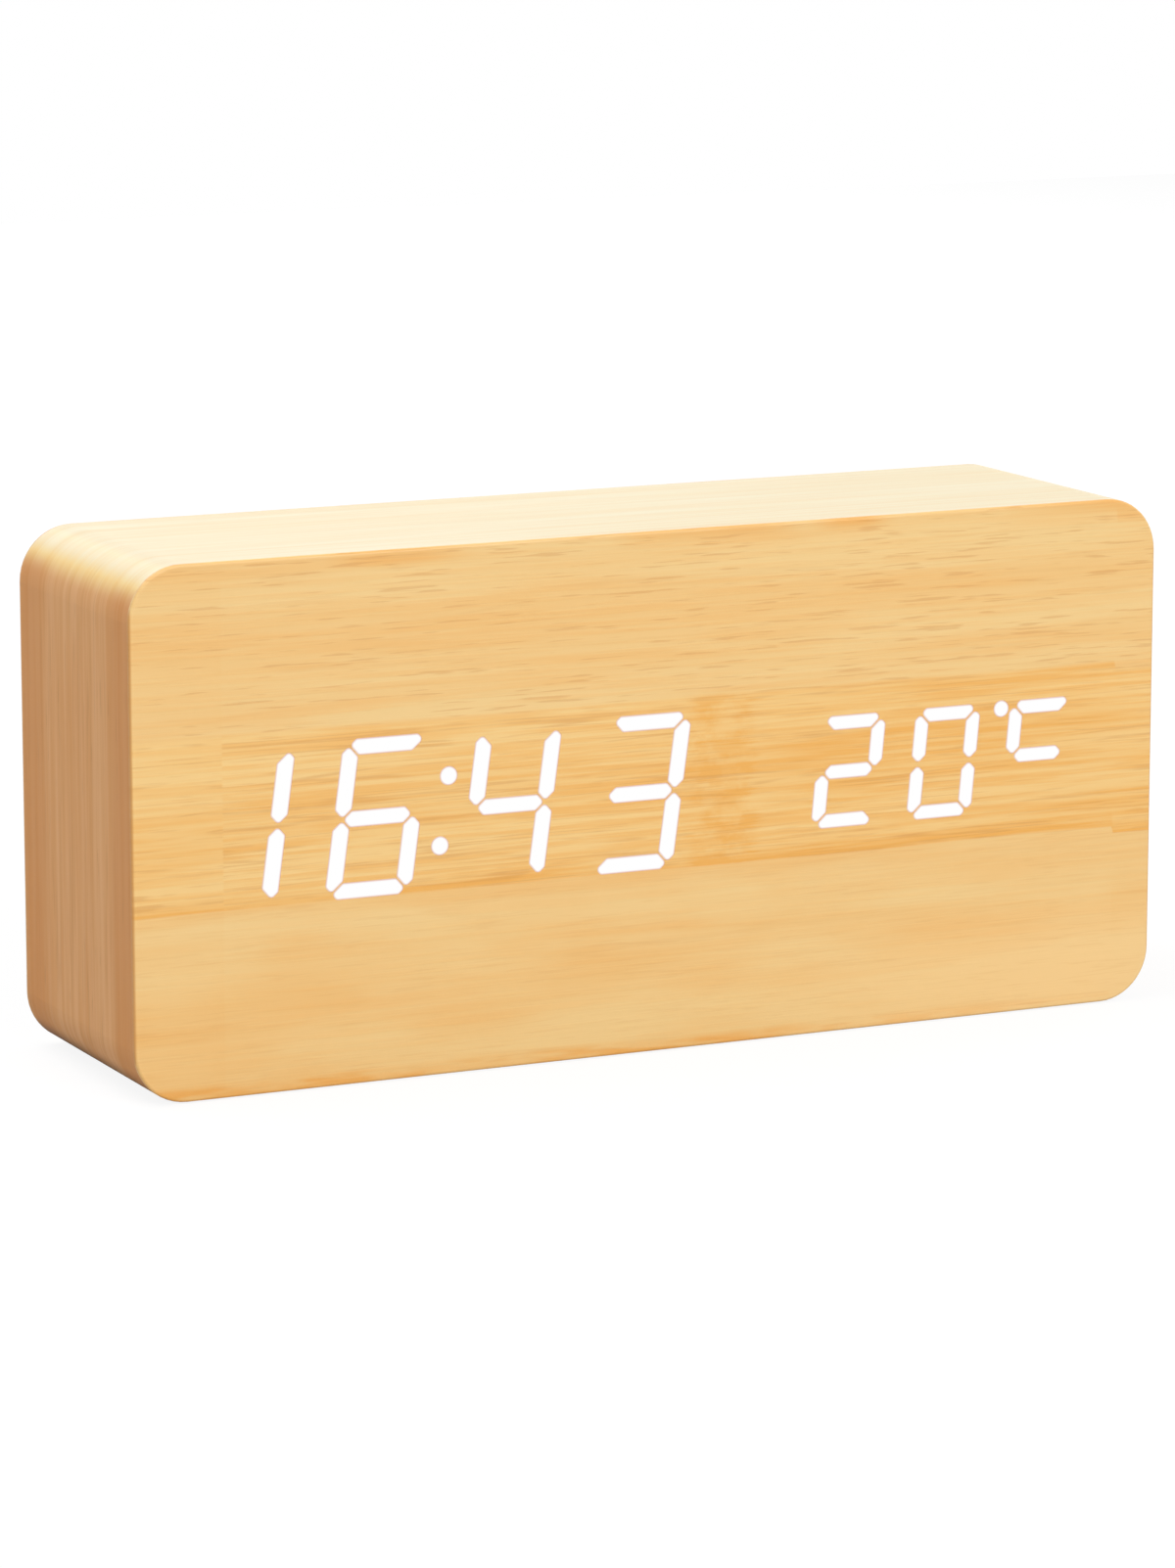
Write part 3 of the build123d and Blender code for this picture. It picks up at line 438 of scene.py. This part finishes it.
# rim veneer: one strip wrapped round the case, grain along the wrap
rimLook = {
    # redder and deeper than the front's wood: partly the strip's own tone, partly painted warm shade on the
    # sides
    "light": (0.845, 0.468, 0.202),
    "deep": (0.735, 0.330, 0.099),
    # painted highlight: golden round the upper corners, cream on their crown and along the top
    "cornerHighlight": (0.985, 0.735, 0.310),
    "cornerHighlightDeep": (0.965, 0.640, 0.230),
    "crownHighlight": (0.940, 0.830, 0.590),
    "crownHighlightDeep": (0.930, 0.730, 0.420),
    "topHighlight": (0.800, 0.722, 0.525),
    "topHighlightDeep": (0.790, 0.625, 0.375),
    "hair": (0.52, 0.20, 0.05),
    "fleck": (0.56, 0.25, 0.075),
    "frontEdge": (0.69, 0.285, 0.072),
    "rearEdge": (0.695, 0.288, 0.074),
    # painted contact shadow where the strip stands
    "foot": (0.13, 0.050, 0.020),
    "roughness": 0.67,
    "relief": (0.00002, 0.5),
    # bands and lines of the grain
    "broad": {"limits": (0.30, 0.72), "period": (0.09, 0.009, 0.07), "shift": (0.4, 2.2, 0.9), "swirl": 0.5},
    "broadShare": 0.32,
    "lines": {
        "limits": (0.32, 0.70), "period": (0.045, 0.0010, 0.045),
        "detail": 3.0, "rough": 0.6, "shift": (0.0, 4.0, 0.0),
    },
    "lineShare": 0.46,
    # heights of the painted highlight round the upper corners
    "highlitCorner": (0.0645, 0.0676),
    "highlitCrown": (0.0668, 0.0688),
    "highlitTop": (0.0693, 0.0700),
    # bands along the rear and the front, and a painted contact shadow along the foot
    "rearBand": (0.0075, 0.0145, 0.0, 0.70),
    "frontBand": (-0.0110, -0.0145, 0.0, 0.70),
    "footBand": (0.0046, 0.0008),
    "footShare": (-0.020, 0.012, 0.72, 0.95),
    # hairs and flecks, fewer on the top
    "hairs": {"period": (0.05, 0.0011, 0.05), "breaks": (0.02, 0.0020, 0.02), "shift": (2.0, 5.0, 0.0)},
    "hairShare": (0.0620, 0.0670, 0.24, 0.05),
    "flecks": {
        "limits": (0.63, 0.75), "period": (0.007, 0.00055, 0.007), "rough": 0.55, "shift": (2.0, 0.0, 3.0),
    },
    "fleckShare": (0.0600, 0.0640, 0.45, 0.06),
    "grooveShare": 0.4,
}


def rimVeneer():
    look = rimLook
    finish, tree, shader = startFinish("rimVeneer", look["light"], look["roughness"])
    y = coordinate(tree, "Y")
    z = coordinate(tree, "Z")
    lines = grain(tree, **look["lines"])
    tone = times(tree, grain(tree, **look["broad"]), look["broadShare"])
    tone = plus(tree, tone, times(tree, lines, look["lineShare"]), clamp=True)
    # painted highlight and sheen: golden round the upper corners, pale on their crown and along the top,
    # where the light falls
    highlitCorner = step(tree, z, *look["highlitCorner"])
    highlitCrown = step(tree, z, *look["highlitCrown"])
    highlitTop = step(tree, z, *look["highlitTop"])
    pale = tint(tree, highlitCrown, tint(tree, highlitCorner, look["light"], look["cornerHighlight"]), look["crownHighlight"])
    pale = tint(tree, highlitTop, pale, look["topHighlight"])
    dark = tint(tree, highlitCrown, tint(tree, highlitCorner, look["deep"], look["cornerHighlightDeep"]), look["crownHighlightDeep"])
    dark = tint(tree, highlitTop, dark, look["topHighlightDeep"])
    wood = tint(tree, tone, pale, dark)
    hairs = times(tree, hairLines(tree, **look["hairs"]), step(tree, z, *look["hairShare"]))
    wood = tint(tree, hairs, wood, look["hair"])
    # warmer along the rear, darker where it meets the front, and a painted contact shadow where it stands
    offTop = minus(tree, 1.0, highlitCorner)
    wood = tint(tree, times(tree, step(tree, y, *look["rearBand"]), offTop), wood, look["rearEdge"])
    wood = tint(tree, times(tree, step(tree, y, *look["frontBand"]), offTop), wood, look["frontEdge"])
    contactShadow = times(tree, step(tree, z, *look["footBand"]), step(tree, y, *look["footShare"]))
    wood = tint(tree, contactShadow, wood, look["foot"])
    flecks = times(tree, grain(tree, **look["flecks"]), step(tree, z, *look["fleckShare"]))
    setColor(tree, shader, tint(tree, flecks, wood, look["fleck"]))
    roughen(tree, shader, lines, look["roughness"])
    relief(tree, shader, minus(tree, lines, times(tree, flecks, look["grooveShare"])), *look["relief"])
    return finish


# rear edging: four lengths that meet in mitres
edgeLook = {
    "pale": (0.815, 0.625, 0.365),
    "deep": (0.735, 0.330, 0.099),
    "roughness": 0.55,
    "relief": (0.00003, 0.5),
    "upright": (0.0008, 0.05, 0.03),
    "level": (0.03, 0.05, 0.0008),
    "fine": {"limits": (0.34, 0.68), "detail": 3.0, "rough": 0.6, "shift": (2.0, 0.0, 6.0)},
    "fineShare": 0.45,
    "wide": {"limits": (0.3, 0.7)},
    "widen": 3.0,
    "wideShare": 0.35,
    "mitre": (-0.00004, 0.00004),
}


def edgeTone(tree, period):
    look = edgeLook
    fine = grain(tree, period=period, **look["fine"])
    wide = grain(tree, period=[side * look["widen"] for side in period], **look["wide"])
    return plus(tree, times(tree, fine, look["fineShare"]), times(tree, wide, look["wideShare"]))


def edgeVeneer():
    look = edgeLook
    finish, tree, shader = startFinish("edgeVeneer", look["pale"], look["roughness"])
    fromEnd = minus(tree, halfWidth, apart(tree, coordinate(tree, "X"), middle[0]))
    fromTop = minus(tree, halfHeight, apart(tree, coordinate(tree, "Z"), middle[2]))
    onLevel = step(tree, minus(tree, fromEnd, fromTop), *look["mitre"])
    tone = between(tree, onLevel, edgeTone(tree, look["upright"]), edgeTone(tree, look["level"]))
    setColor(tree, shader, tint(tree, tone, look["pale"], look["deep"]))
    roughen(tree, shader, tone, look["roughness"])
    relief(tree, shader, tone, *look["relief"])
    return finish


wear(nodes["front_veneer"], frontVeneer())
wear(nodes["rim_veneer"], rimVeneer())
wear(nodes["rear_edge_veneer"], edgeVeneer())
print("veneers done")


# helpers for modelling
squareOn = 0.99  # a face counts as facing an axis from here


def editPiece(piece):
    bpy.ops.object.select_all(action="DESELECT")
    piece.select_set(True)
    bpy.context.view_layer.objects.active = piece
    bpy.ops.object.mode_set(mode="EDIT")
    bpy.ops.mesh.select_mode(type="FACE")
    bpy.ops.mesh.select_all(action="DESELECT")


def pickFaces(piece, test):
    bpy.ops.mesh.select_all(action="DESELECT")
    bpy.ops.object.mode_set(mode="OBJECT")
    for face in piece.data.polygons:
        face.select = test(face)
    bpy.ops.object.mode_set(mode="EDIT")


def pull(x=0.0, y=0.0):  # extrude what is selected
    bpy.ops.mesh.extrude_region_move(TRANSFORM_OT_translate={"value": (x, y, 0.0)})


def doneEditing():
    bpy.ops.object.mode_set(mode="OBJECT")
    bpy.ops.object.select_all(action="DESELECT")


# lit segments: white light through the veneer, a pinkish fringe where the wood scatters it
litLook = {
    "fringe": 0.00026,
    "fringeColor": (0.80, 0.56, 0.50),
    "coreColor": (1.0, 1.0, 1.0),
    "unlit": (0.0, 0.0, 0.0),
    "roughness": 0.4,
    "weld": 0.000002,
    "flat": 1.0,
}


def litFinish():
    finish, tree, shader = startFinish("litVeneer", litLook["unlit"], litLook["roughness"])
    share = tree.nodes.new("ShaderNodeAttribute")
    share.attribute_name = "glowShare"
    glowing = step(tree, share.outputs["Fac"], 0.0, 1.0)
    shader.inputs["Specular IOR Level"].default_value = 0.0
    shader.inputs["Emission Strength"].default_value = 1.0
    color = tint(tree, glowing, litLook["fringeColor"], litLook["coreColor"])
    tree.links.new(color, shader.inputs["Emission Color"])
    return finish


def litPiece(name, nodeName, finish):
    piece = bpy.data.objects.new(name, nodes[nodeName].data.copy())
    scene.collection.objects.link(piece)
    editPiece(piece)
    bpy.ops.mesh.select_all(action="SELECT")
    bpy.ops.mesh.remove_doubles(threshold=litLook["weld"])
    bpy.ops.mesh.dissolve_limited(angle_limit=math.radians(litLook["flat"]))
    pickFaces(piece, lambda face: face.normal.y < -squareOn)
    bpy.ops.mesh.inset(thickness=litLook["fringe"], use_individual=True)
    bpy.ops.object.mode_set(mode="OBJECT")
    core = {corner for face in piece.data.polygons if face.select for corner in face.vertices}
    share = piece.data.attributes.new("glowShare", "FLOAT", "POINT")
    for corner, point in enumerate(share.data):
        point.value = 1.0 if corner in core else 0.0
    bpy.ops.object.select_all(action="DESELECT")
    wear(piece, finish)
    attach(piece, "case")
    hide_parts(nodeName)


glowFinish = litFinish()
litPiece("litTime", "lit_time_segments", glowFinish)
litPiece("litTemperature", "lit_temperature_segments", glowFinish)
print("lit segments done")

# moulded pieces: fine grain, and patches a little darker or lighter
mouldedLooks = {
    "black_plastic": {
        "color": (0.020, 0.020, 0.021), "roughness": 0.50,
        "grain": 0.00070, "depth": 0.00012, "patch": 0.03,
    },
    "button_plastic": {
        "color": (0.046, 0.046, 0.048), "roughness": 0.36,
        "grain": 0.00012, "depth": 0.000003, "patch": 0.006,
    },
    "chip_resin": {
        "color": (0.026, 0.026, 0.027), "roughness": 0.58,
        "grain": 0.00016, "depth": 0.000006, "patch": 0.004,
    },
    "white_plastic": {
        "color": (0.80, 0.80, 0.775), "roughness": 0.50,
        "grain": 0.0003, "depth": 0.000006, "patch": 0.02,
    },
    "milky_resin": {
        "color": (0.86, 0.86, 0.84), "roughness": 0.22,
        "grain": 0.0009, "depth": 0.000004, "patch": 0.003,
    },
    "led_package": {
        "color": (0.84, 0.76, 0.36), "roughness": 0.25,
        "grain": 0.0004, "depth": 0.000003, "patch": 0.001,
    },
    "grey_insulation": {
        "color": (0.40, 0.40, 0.40), "roughness": 0.55,
        "grain": 0.0004, "depth": 0.000008, "patch": 0.01,
    },
    "red_insulation": {
        "color": (0.50, 0.022, 0.018), "roughness": 0.45,
        "grain": 0.0004, "depth": 0.000006, "patch": 0.01,
    },
    "black_insulation": {
        "color": (0.022, 0.022, 0.022), "roughness": 0.45,
        "grain": 0.0004, "depth": 0.000006, "patch": 0.01,
    },
}
mouldedShades = {
    "patches": {"limits": (0.3, 0.7), "detail": 3.0, "rough": 0.55},
    "darker": 0.86,
    "lighter": 1.08,
    "palest": 0.95,
    "strength": 0.8,
}


def mouldedFinish(name, look):
    shades = mouldedShades
    finish, tree, shader = startFinish(name, look["color"], look["roughness"])
    patch = grain(tree, period=[look["patch"]] * 3, **shades["patches"])
    darker = tuple(part * shades["darker"] for part in look["color"])
    lighter = tuple(min(part * shades["lighter"], shades["palest"]) for part in look["color"])
    setColor(tree, shader, tint(tree, patch, darker, lighter))
    roughen(tree, shader, patch, look["roughness"])
    relief(tree, shader, cloud(tree, [look["grain"]] * 3, rough=0.6), look["depth"], shades["strength"])
    return finish


# bare metal: dull patches and fine level streaks
metalLooks = {
    "screw_steel": {"color": (0.60, 0.605, 0.62), "roughness": 0.30, "patch": 0.0012, "streak": 0.00018},
    "tinned_metal": {"color": (0.76, 0.75, 0.72), "roughness": 0.26, "patch": 0.004, "streak": 0.0003},
}
metalShades = {
    "patches": {"limits": (0.3, 0.7), "detail": 3.0, "rough": 0.6},
    "darker": 0.8,
    "stretch": 12,
    "scuffs": (0.2, 1.6),
    "smoother": 0.08,
    "rougher": 0.12,
    "relief": (0.000004, 0.6),
}


def metalFinish(name, look):
    shades = metalShades
    finish, tree, shader = startFinish(name, look["color"], look["roughness"], metallic=1.0)
    patch = grain(tree, period=[look["patch"]] * 3, **shades["patches"])
    length = look["streak"] * shades["stretch"]
    streak = cloud(tree, (length, length, look["streak"]), rough=0.6)
    darker = tuple(part * shades["darker"] for part in look["color"])
    setColor(tree, shader, tint(tree, patch, darker, look["color"]))
    smoothest = look["roughness"] - shades["smoother"]
    roughest = look["roughness"] + shades["rougher"]
    rough = step(tree, plus(tree, patch, streak), *shades["scuffs"], smoothest, roughest)
    tree.links.new(rough, shader.inputs["Roughness"])
    relief(tree, shader, streak, *shades["relief"])
    return finish


# raw fibreboard: matted fibres, pale and dark
boardLook = {
    "color": (0.42, 0.285, 0.165),
    "dark": (0.27, 0.165, 0.085),
    "pale": (0.55, 0.40, 0.25),
    "roughness": 0.85,
    "fibres": {
        "limits": (0.3, 0.7), "period": (0.0011, 0.0003, 0.0011), "detail": 4.0, "rough": 0.7, "swirl": 1.2,
    },
    "patches": {"period": (0.012, 0.012, 0.012)},
    "relief": (0.00006, 0.8),
}


def fibreFinish():
    look = boardLook
    finish, tree, shader = startFinish("fibreboard", look["color"], look["roughness"])
    matted = grain(tree, **look["fibres"])
    mixed = tint(tree, matted, look["dark"], look["pale"])
    setColor(tree, shader, tint(tree, cloud(tree, **look["patches"]), mixed, look["color"]))
    relief(tree, shader, matted, *look["relief"])
    return finish


# circuit boards: green mask over copper tracks that run along and up
maskLook = {
    "mask": (0.018, 0.15, 0.055),
    "track": (0.035, 0.24, 0.085),
    "roughness": 0.32,
    "pitch": 0.0021,
    "trackWidth": 0.09,
    "trackLength": 5.0,
    "kept": {"limits": (0.42, 0.48), "period": (0.006, 0.006, 0.006)},
    "relief": (0.00003, 0.7),
}


def maskFinish():
    look = maskLook
    finish, tree, shader = startFinish("solderMask", look["mask"], look["roughness"])
    bricks = tree.nodes.new("ShaderNodeTexBrick")
    bricks.inputs["Scale"].default_value = 1.0
    bricks.inputs["Mortar Size"].default_value = look["trackWidth"]
    bricks.inputs["Brick Width"].default_value = look["trackLength"]
    bricks.inputs["Row Height"].default_value = 1.0
    mapping = tree.nodes.new("ShaderNodeMapping")
    mapping.inputs["Rotation"].default_value = (math.radians(-90.0), 0.0, 0.0)
    mapping.inputs["Scale"].default_value = [1.0 / look["pitch"]] * 3
    tree.links.new(spot(tree), mapping.inputs["Vector"])
    tree.links.new(mapping.outputs["Vector"], bricks.inputs["Vector"])
    tracks = times(tree, bricks.outputs["Fac"], grain(tree, **look["kept"]))
    setColor(tree, shader, tint(tree, tracks, look["mask"], look["track"]))
    relief(tree, shader, tracks, *look["relief"])
    return finish


finishes = {name: mouldedFinish(name, look) for name, look in mouldedLooks.items()}
finishes.update({name: metalFinish(name, look) for name, look in metalLooks.items()})
finishes["fibreboard"] = fibreFinish()
finishes["circuit_board"] = maskFinish()
for part in frame["record"]["subparts"]:
    if part["material_slot"] in finishes:
        wear(nodes[part["node"]], finishes[part["material_slot"]])
print("other finishes done")

# pale paint in the buttons' moulded signs, a ring and two triangles
paintLook = {
    "height": 0.0425,
    "floor": 0.01951,
    "coat": 0.00009,
    "radius": 0.00124,
    "stroke": 0.00042,
    "rounding": 0.00003,
    # place along X, corners and turn
    "signs": {"set": (-0.033, 32, 90.0), "up": (-0.045, 3, 90.0), "down": (-0.057, 3, -90.0)},
    "finish": {
        "color": (0.50, 0.50, 0.49), "roughness": 0.45,
        "grain": 0.0002, "depth": 0.00001, "patch": 0.001,
    },
}


def paintSign(name, across, corners, turn, finish):
    look = paintLook
    bpy.ops.mesh.primitive_circle_add(
        vertices=corners, radius=look["radius"], fill_type="NGON",
        location=(across, look["floor"], look["height"]), rotation=(math.radians(turn), 0.0, 0.0),
    )
    piece = bpy.context.object
    piece.name = name + "Paint"
    bpy.ops.object.transform_apply(location=True, rotation=True, scale=True)
    editPiece(piece)
    bpy.ops.mesh.select_all(action="SELECT")
    if corners > 3:  # a ring, not a disc
        bpy.ops.mesh.inset(thickness=look["stroke"])
        bpy.ops.mesh.delete(type="FACE")
        bpy.ops.mesh.select_all(action="SELECT")
    pull(y=look["coat"])
    bpy.ops.mesh.select_all(action="SELECT")
    bpy.ops.mesh.normals_make_consistent(inside=False)
    pickFaces(piece, lambda face: face.normal.y > squareOn)
    bpy.ops.mesh.bevel(offset=look["rounding"], segments=2, affect="EDGES")
    doneEditing()
    wear(piece, finish)
    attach(piece, name + "_key")


paintFinish = mouldedFinish("signPaint", paintLook["finish"])
for signName, (across, corners, turn) in paintLook["signs"].items():
    paintSign(signName, across, corners, turn, paintFinish)
print("button signs done")

# three small cells: a shrunk jacket over a steel can, a nub at one end
cellLook = {
    "sides": 40,
    "radius": 0.00525,
    "body": 0.0437,
    "left": 0.00325,
    "centre": (0.024, 0.01105),
    # height, and where the nub points along X
    "rows": {"lowCell": (0.0238, 1), "middleCell": (0.035, -1), "highCell": (0.0462, 1)},
    "rounding": 0.0005,
    "lip": 0.0011,
    "sunk": 0.00025,
    "nubRadius": 0.0019,
    "nubLength": 0.0008,
    "nubRounding": 0.0003,
    "padInset": 0.0006,
    "padRise": 0.0002,
    "bandShare": 0.14,
    "bareWithin": 0.00002,
    "smoothTo": 35.0,
    "jacket": (0.030, 0.034, 0.040),
    "band": (0.52, 0.53, 0.55),
    "bandMetal": 0.6,
    "darker": 0.8,
    "roughness": 0.28,
    "roughBy": 0.06,
    "patches": {"limits": (0.3, 0.7), "period": (0.009, 0.002, 0.002), "detail": 3.0, "rough": 0.55},
    "creases": {"period": (0.004, 0.0012, 0.0012)},
    "relief": (0.00002, 0.5),
}


def jacketFinish(name, color, metallic):
    look = cellLook
    finish, tree, shader = startFinish(name, color, look["roughness"], metallic)
    patch = grain(tree, **look["patches"])
    darker = tuple(part * look["darker"] for part in color)
    setColor(tree, shader, tint(tree, patch, darker, color))
    roughen(tree, shader, patch, look["roughness"], look["roughBy"])
    relief(tree, shader, cloud(tree, **look["creases"]), *look["relief"])  # the film isn't quite smooth
    return finish


def makeCell(name, height, way, coats):
    look = cellLook
    across, depth = look["centre"]
    start = look["left"] if way > 0 else 2 * across - look["left"] - look["body"]
    end = start + look["body"]
    bpy.ops.mesh.primitive_cylinder_add(
        vertices=look["sides"], radius=look["radius"], depth=look["body"],
        location=((start + end) / 2, depth, height), rotation=(0.0, math.radians(90.0), 0.0),
    )
    piece = bpy.context.object
    piece.name = name
    bpy.ops.object.transform_apply(location=True, rotation=True, scale=True)
    editPiece(piece)
    inner = look["radius"] - look["rounding"] - look["lip"]
    for facing in (1, -1):
        pickFaces(piece, lambda face: face.normal.x * facing > squareOn)
        bpy.ops.mesh.bevel(offset=look["rounding"], segments=3, affect="EDGES")
        pickFaces(piece, lambda face: face.normal.x * facing > squareOn)
        bpy.ops.mesh.inset(thickness=look["lip"])
        pull(x=-facing * look["sunk"])
        if facing == way:
            bpy.ops.mesh.inset(thickness=inner - look["nubRadius"])
            pull(x=facing * (look["sunk"] + look["nubLength"]))
            bpy.ops.mesh.bevel(offset=look["nubRounding"], segments=2, affect="EDGES")
        else:
            bpy.ops.mesh.inset(thickness=look["padInset"], depth=look["padRise"])
    # a paler band round the nub's end
    bandWidth = look["body"] * look["bandShare"]
    split = end - bandWidth if way > 0 else start + bandWidth
    bpy.ops.mesh.select_all(action="SELECT")
    bpy.ops.mesh.bisect(plane_co=(split, 0.0, 0.0), plane_no=(1.0, 0.0, 0.0))
    doneEditing()
    wear(piece, *coats)
    for face in piece.data.polygons:
        out = math.hypot(face.center.y - depth, face.center.z - height)
        atEnd = face.center.x < start + look["lip"] or face.center.x > end - look["lip"]
        banded = (face.center.x - split) * way > 0
        bare = atEnd and out < inner - look["bareWithin"]
        face.material_index = 2 if bare else int(banded)
    piece.select_set(True)
    bpy.context.view_layer.objects.active = piece
    bpy.ops.object.shade_smooth_by_angle(angle=math.radians(look["smoothTo"]))
    piece.select_set(False)
    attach(piece, "case")
    return piece


coats = (
    jacketFinish("cellJacket", cellLook["jacket"], 0.0),
    jacketFinish("cellBand", cellLook["band"], cellLook["bandMetal"]),
    finishes["tinned_metal"],
)
for cellName, (height, way) in cellLook["rows"].items():
    made = makeCell(cellName, height, way, coats)
    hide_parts("aaa_cells")
print("cells done")
